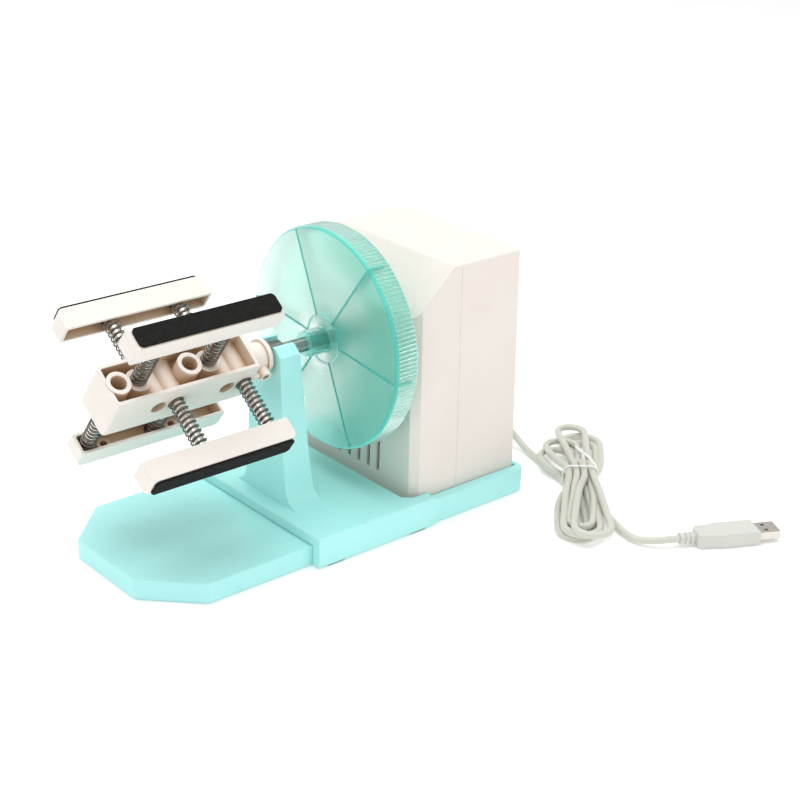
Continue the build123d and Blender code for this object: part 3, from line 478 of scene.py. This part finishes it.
# Cross-section, round its outline: place along the spindle, radius, and the tint of the
# band up to the next point. Thick corners are deeply tinted and the hub's sleeve is clear.
WHEEL_SECTION = [
    (HUB_FRONT, SHAFT_R, EDGE), (HUB_FRONT, HUB_R - 0.4, SLEEVE), (HUB_FRONT + 0.4, HUB_R, SLEEVE),
    (PLATE_FRONT - 1.0, HUB_R, EDGE), (PLATE_FRONT - 0.3, HUB_R + 0.3, FACE),
    (PLATE_FRONT, HUB_R + 1.1, FACE), (PLATE_FRONT, 24.0, FACE), (PLATE_FRONT, 42.0, FACE),
    (PLATE_FRONT, WHEEL_R - 1.8, EDGE), (PLATE_FRONT + 0.4, WHEEL_R - 0.7, EDGE),
    (PLATE_FRONT + 1.0, WHEEL_R - 0.2, EDGE), (PLATE_FRONT + 1.7, WHEEL_R, FACE),
    (RIDGES_FROM, WHEEL_R, FACE), (RIDGES_TO, WHEEL_R, FACE),
    (RIM_BACK - 0.5, WHEEL_R - 0.4, EDGE), (RIM_BACK, WHEEL_R - 0.6, EDGE),
    (RIM_BACK, RIM_INNER + 0.2, EDGE), (RIM_BACK - 0.2, RIM_INNER, FACE),
    (PLATE_BACK + 0.5, RIM_INNER, FACE), (PLATE_BACK, RIM_INNER - 0.5, FACE),
    (PLATE_BACK, 42.0, FACE), (PLATE_BACK, 24.0, FACE), (PLATE_BACK, RING_OUTER + 0.4, FACE),
    (PLATE_BACK + 0.3, RING_OUTER, FACE), (RING_BACK, RING_OUTER - 0.1, EDGE),
    (RING_BACK, RING_INNER + 0.1, EDGE), (PLATE_BACK + 0.3, RING_INNER, FACE),
    (PLATE_BACK, RING_INNER - 0.4, FACE), (PLATE_BACK, HUB_R + 0.4, FACE), (PLATE_BACK + 0.4, HUB_R, FACE),
    (HUB_BACK - 0.3, HUB_R, EDGE), (HUB_BACK, HUB_R - 0.3, EDGE), (HUB_BACK, SHAFT_R, FACE),
]
RIB_COUNT = 6
RIB_START = 6.5                  # direction of the first rib from +Y
RIB_HALF = 0.6
RIB_PROUD = 0.15                 # how far ribs and ring show in front of the plate
# Each rib as two blocks, a spoke behind the plate and its end on the rim: spans along
# the spindle and outwards.
RIB_BOXES = [
    ((PLATE_FRONT - RIB_PROUD, PLATE_BACK + 3.0), (RING_INNER + 0.7, RIM_INNER + 0.8)),
    ((PLATE_FRONT + 0.8, PLATE_BACK + 9.0), (RIM_INNER - 2.3, WHEEL_R - 0.05)),
]


def around(x, radius, degrees):
    a = math.radians(degrees)
    return at(x, radius * math.cos(a), AXIS_Z / MM + radius * math.sin(a))


def box_part(spans, degrees, half_width):
    """A block beside a spoke direction, as points and faces: spans along X and outwards."""
    (x0, x1), (r0, r1) = spans
    out = Vector((0, math.cos(math.radians(degrees)), math.sin(math.radians(degrees))))
    side = Vector((0, -out.z, out.y)) * half_width * MM
    corners = [at(x, 0, AXIS_Z / MM) + out * r * MM + sign * side
               for x in (x0, x1) for r in (r0, r1) for sign in (-1, 1)]
    faces = [(0, 1, 3, 2), (4, 6, 7, 5), (0, 4, 5, 1), (2, 3, 7, 6), (0, 2, 6, 4), (1, 5, 7, 3)]
    return corners, faces


def add_wheel():
    """The section turned round the spindle, with the rim's band cut into fine ridges."""
    steps = RIDGES * STEPS_PER_RIDGE
    points, faces = [], []
    rings = len(WHEEL_SECTION)
    for k in range(steps):
        turn = 360.0 * k / steps
        dip = RIDGE_DEPTH / 2 * (1 - math.cos(2 * math.pi * k / STEPS_PER_RIDGE))
        for x, radius, _ in WHEEL_SECTION:
            ridged = radius == WHEEL_R and RIDGES_FROM <= x <= RIDGES_TO
            points.append(around(x, radius - (dip if ridged else 0.0), turn))
    for k in range(steps):
        n = (k + 1) % steps
        for i in range(rings):
            j = (i + 1) % rings
            faces.append((k * rings + i, k * rings + j, n * rings + j, n * rings + i))
    wheel = add_mesh("wheel", points, faces, teal, "spindle", 32.0)
    wheel.data.materials.append(teal_edge)
    wheel.data.materials.append(teal_hub)
    for i, polygon in enumerate(wheel.data.polygons):
        polygon.material_index = WHEEL_SECTION[i % rings][2]
    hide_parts("drive_wheel")


def add_wheel_ribs():
    """Spokes with their ends on the rim, and the ring that joins them round the hub."""
    points, faces = [], []
    for k in range(RIB_COUNT):
        for spans in RIB_BOXES:
            corners, sides = box_part(spans, RIB_START + 360 / RIB_COUNT * k, RIB_HALF)
            faces += [tuple(len(points) + i for i in side) for side in sides]
            points += corners
    steps, base = 72, len(points)
    front = PLATE_FRONT - RIB_PROUD
    ring = ((front, RING_INNER), (front, RING_OUTER), (RING_BACK, RING_OUTER), (RING_BACK, RING_INNER))
    for k in range(steps):
        for x, radius in ring:
            points.append(around(x, radius, 360.0 * k / steps))
    for k in range(steps):
        n = (k + 1) % steps
        faces += [tuple(base + i for i in (4 * k + j, 4 * k + (j + 1) % 4, 4 * n + (j + 1) % 4, 4 * n + j))
                  for j in range(4)]
    add_mesh("wheel_ribs", points, faces, teal_edge, "spindle", 30.0)


add_wheel()
add_wheel_ribs()


# ---- springs and pads -----------------------------------------------------------
SPRING_R = 4.45
WIRE_D = 0.9
SPRING_PITCH = 2.9
CLOSED_TURNS = (2.4, 1.2)        # at the block and at the bar
CLOSED_PITCH = WIRE_D * 1.04
POINTS_PER_TURN = 18
SPRING_GAP = 0.05                # between a spring's end and the bar's wall


def arm(number):
    """Directions out along a bar's rods and across its bar."""
    a = math.radians(BAR_TURN[number])
    out = Vector((0, math.cos(a), math.sin(a)))
    return out, Vector((0, out.z, -out.y))


def spring_path(number, rod_x, seat, length):
    """A helix from the block to the bar, with closed turns at both ends."""
    out, across = arm(number)
    first_closed, last_closed = CLOSED_TURNS
    active = (length - WIRE_D - CLOSED_PITCH * (first_closed + last_closed)) / SPRING_PITCH
    total = first_closed + last_closed + active
    count = round(total * POINTS_PER_TURN)
    radius = SPRING_R - WIRE_D / 2
    path = []
    for i in range(count + 1):
        t = total * i / count
        open_turns = min(max(t - first_closed, 0), active)
        height = CLOSED_PITCH * (t - open_turns) + SPRING_PITCH * open_turns
        a = 2 * math.pi * t
        centre = at(rod_x, 0, AXIS_Z / MM) + out * (seat + WIRE_D / 2 + height) * MM
        path.append(centre + (Vector((1, 0, 0)) * math.cos(a) + across * math.sin(a)) * radius * MM)
    return path


def add_springs(number):
    out, across = arm(number)
    seat = BLOCK_DEPTH[number] - SEAT_DEPTH
    length = BAR_OUTER - WEB_T - SPRING_GAP - seat
    for spot, place in ((0, "front"), (ROD_PITCH, "back")):
        rod_x = ROD_FIRST[number] + spot
        points, faces = tube_mesh(spring_path(number, rod_x, seat, length), WIRE_D / 2 * MM, 10)
        spring = add_mesh(f"spring_{number}_{place}", points, faces, spring_wire, "spindle", 60.0)
        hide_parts(f"bar_{number}_spring_{place}")
        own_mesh(spring)


PAD_X = (BAR_ENDS[0] + 2.4, BAR_ENDS[1] - 2.0)
PAD_HALF = 5.7
PAD_T = 1.5
PAD_CORNER = 1.6
PAD_ROUNDING = 0.35


def add_pad(number):
    """Foam strip with cut corners, softly rounded on top."""
    out, across = arm(number)
    (x0, x1), h, c = PAD_X, PAD_HALF, PAD_CORNER
    outline = [
        (x0 + c, -h), (x1 - c, -h), (x1, -h + c), (x1, h - c),
        (x1 - c, h), (x0 + c, h), (x0, h - c), (x0, -h + c),
    ]
    on_axis = [at(x, 0, AXIS_Z / MM) + across * y * MM for x, y in outline]
    points = [place + out * level * MM for level in (BAR_OUTER, BAR_OUTER + PAD_T) for place in on_axis]
    faces = [tuple(range(8)), tuple(range(15, 7, -1))]
    faces += [(k, 8 + k, 8 + (k + 1) % 8, (k + 1) % 8) for k in range(8)]
    pad = add_mesh(f"pad_{number}", points, faces, foam, f"bar_{number}", 0)
    rounding = pad.modifiers.new("rounding", "BEVEL")
    rounding.width = PAD_ROUNDING * MM
    rounding.segments = 3
    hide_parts(f"grip_pad_{number}")


for number in BAR_TURN:
    add_springs(number)
    add_pad(number)


# ---- tie ------------------------------------------------------------------------
TIE_HALF = 10.2                  # half width of the band round the hank
TIE_LOW = 0.55
TIE_HIGH = 14.4
TIE_CORNER = 4.4
TIE_RADIUS = 0.55 * MM
SPARE_HALF = 0.9                 # half the gap between the two strands of the spare loop
SPARE_LOOP = [(2.0, 10.4, 8.0), (6.0, 9.4, 12.2), (13.0, 6.4, 13.6), (22.0, 2.4, 13.7), (29.0, -0.6, 13.4)]


def tie_ring():
    """The band as a rounded rectangle across the waist, closed on its first point."""
    side, top, bottom = TIE_HALF - TIE_CORNER, TIE_HIGH - TIE_CORNER, TIE_LOW + TIE_CORNER
    corners = ((side, top, 0), (-side, top, 90), (-side, bottom, 180), (side, bottom, 270))
    ring = []
    for centre_across, centre_height, start in corners:
        for step in range(7):
            a = math.radians(start + 15 * step)
            across = centre_across + TIE_CORNER * math.cos(a)
            ring.append(hank_point(0.0, across, centre_height + TIE_CORNER * math.sin(a)))
    return ring + ring[:1]


def add_tie():
    """Elastic tie: one band round the waist and its spare loop laid over the turns."""
    points, faces = tube_mesh(tie_ring(), TIE_RADIUS, 10)
    out = [hank_point(along - SPARE_HALF, across, height) for along, across, height in SPARE_LOOP]
    back = [hank_point(along + SPARE_HALF, across, height) for along, across, height in SPARE_LOOP]
    more, more_faces = tube_mesh(out + back[::-1], TIE_RADIUS, 10)
    base = len(points)
    points += more
    faces += [tuple(base + i for i in face) for face in more_faces]
    tie = add_mesh("tie", points, faces, tie_white, "base", 60.0)
    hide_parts("twist_tie")
    return tie


tie = add_tie()


# ---- floor and light ------------------------------------------------------------
FLOOR_HALF = 8.0
FLOOR_DROP = 0.2 * MM            # keeps the floor just under the feet
FLOOR_GLOW = 0.2
WORLD_LIGHT = 0.68


def add_stage():
    """White paper floor."""
    material, tree, shader = node_material("floor_paper")
    tone = blend(tree, spread(tree, noise(tree, 6.0), 0.0, 1.0), (0.93, 0.93, 0.93), (0.95, 0.95, 0.95))
    tree.links.new(tone, shader.inputs["Base Color"])
    shader.inputs["Roughness"].default_value = 0.9
    shader.inputs["Emission Color"].default_value = (1.0, 1.0, 1.0, 1.0)
    shader.inputs["Emission Strength"].default_value = FLOOR_GLOW
    mesh = bpy.data.meshes.new("floor")
    half = FLOOR_HALF
    corners = [(-half, -half, 0), (half, -half, 0), (half, half, 0), (-half, half, 0)]
    mesh.from_pydata(corners, [], [(0, 1, 2, 3)])
    floor = bpy.data.objects.new("floor", mesh)
    floor.location.z = -FLOOR_DROP
    mesh.materials.append(material)
    scene.collection.objects.link(floor)


def add_light(name, place, target, size, power):
    data = bpy.data.lights.new(name, "AREA")
    data.shape = "RECTANGLE"
    data.size, data.size_y = size
    data.energy = power
    lamp = bpy.data.objects.new(name, data)
    scene.collection.objects.link(lamp)
    lamp.location = place
    lamp.rotation_mode = "QUATERNION"
    lamp.rotation_quaternion = (Vector(target) - Vector(place)).to_track_quat("-Z", "Y")


def add_world():
    world = bpy.data.worlds.new("studio")
    world.use_nodes = True
    background = world.node_tree.nodes["Background"]
    background.inputs["Color"].default_value = (1.0, 1.0, 1.0, 1.0)
    background.inputs["Strength"].default_value = WORLD_LIGHT
    scene.world = world


add_stage()
add_world()
add_light("key_softbox", (0.55, -1.10, 1.15), (0.0, 0.0, 0.06), (1.0, 0.8), 2.8)
add_light("top_softbox", (-0.10, 0.25, 1.50), (0.0, 0.0, 0.05), (1.4, 1.2), 15.5)
scene.view_settings.view_transform = "Standard"
scene.view_settings.look = "None"


# ---- last update of the scene ---------------------------------------------------
bpy.context.view_layer.update()
